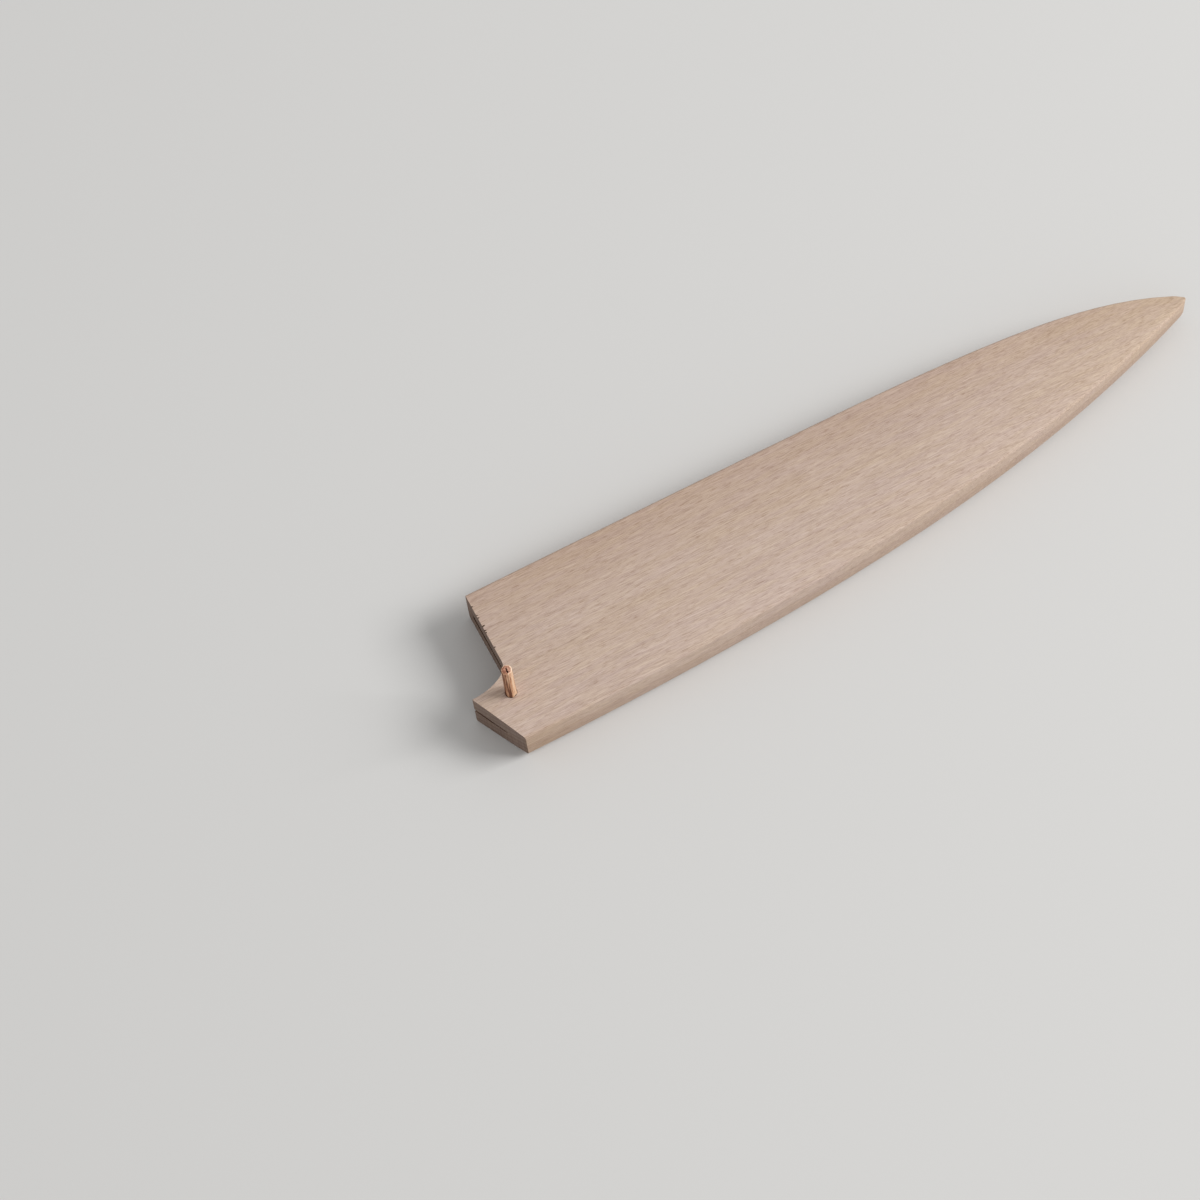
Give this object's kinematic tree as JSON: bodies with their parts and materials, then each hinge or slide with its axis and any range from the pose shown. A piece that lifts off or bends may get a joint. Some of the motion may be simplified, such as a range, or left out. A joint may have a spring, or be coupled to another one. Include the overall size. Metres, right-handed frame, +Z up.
{
  "type": "knife blade guard",
  "caption": "Wooden sheath that slides over a chef's knife blade, in two glued halves with a notched mouth and a loose locking pin.",
  "frame": {"origin": "centre of the outline seen from above, on the face that the sheath lies on", "axes": "+X along the blade towards the tip, +Y across the blade towards the spine, +Z up out of the face that the pin is drawn from"},
  "size_m": [0.2264, 0.044, 0.029],
  "materials": {
    "face_wood": "planed and sanded, unfinished",
    "pin_bamboo": "split and whittled, unfinished"
  },
  "bodies": {
    "sheath": {"upper_half": "face_wood", "lower_half": "face_wood"},
    "pin": {"locking_pin": "pin_bamboo"}
  },
  "joints": [
    {"name": "pin_draw", "type": "slide", "parent": "sheath", "child": "pin", "axis": [0, 0, 1], "range_m": [0, 0.02]}
  ]
}
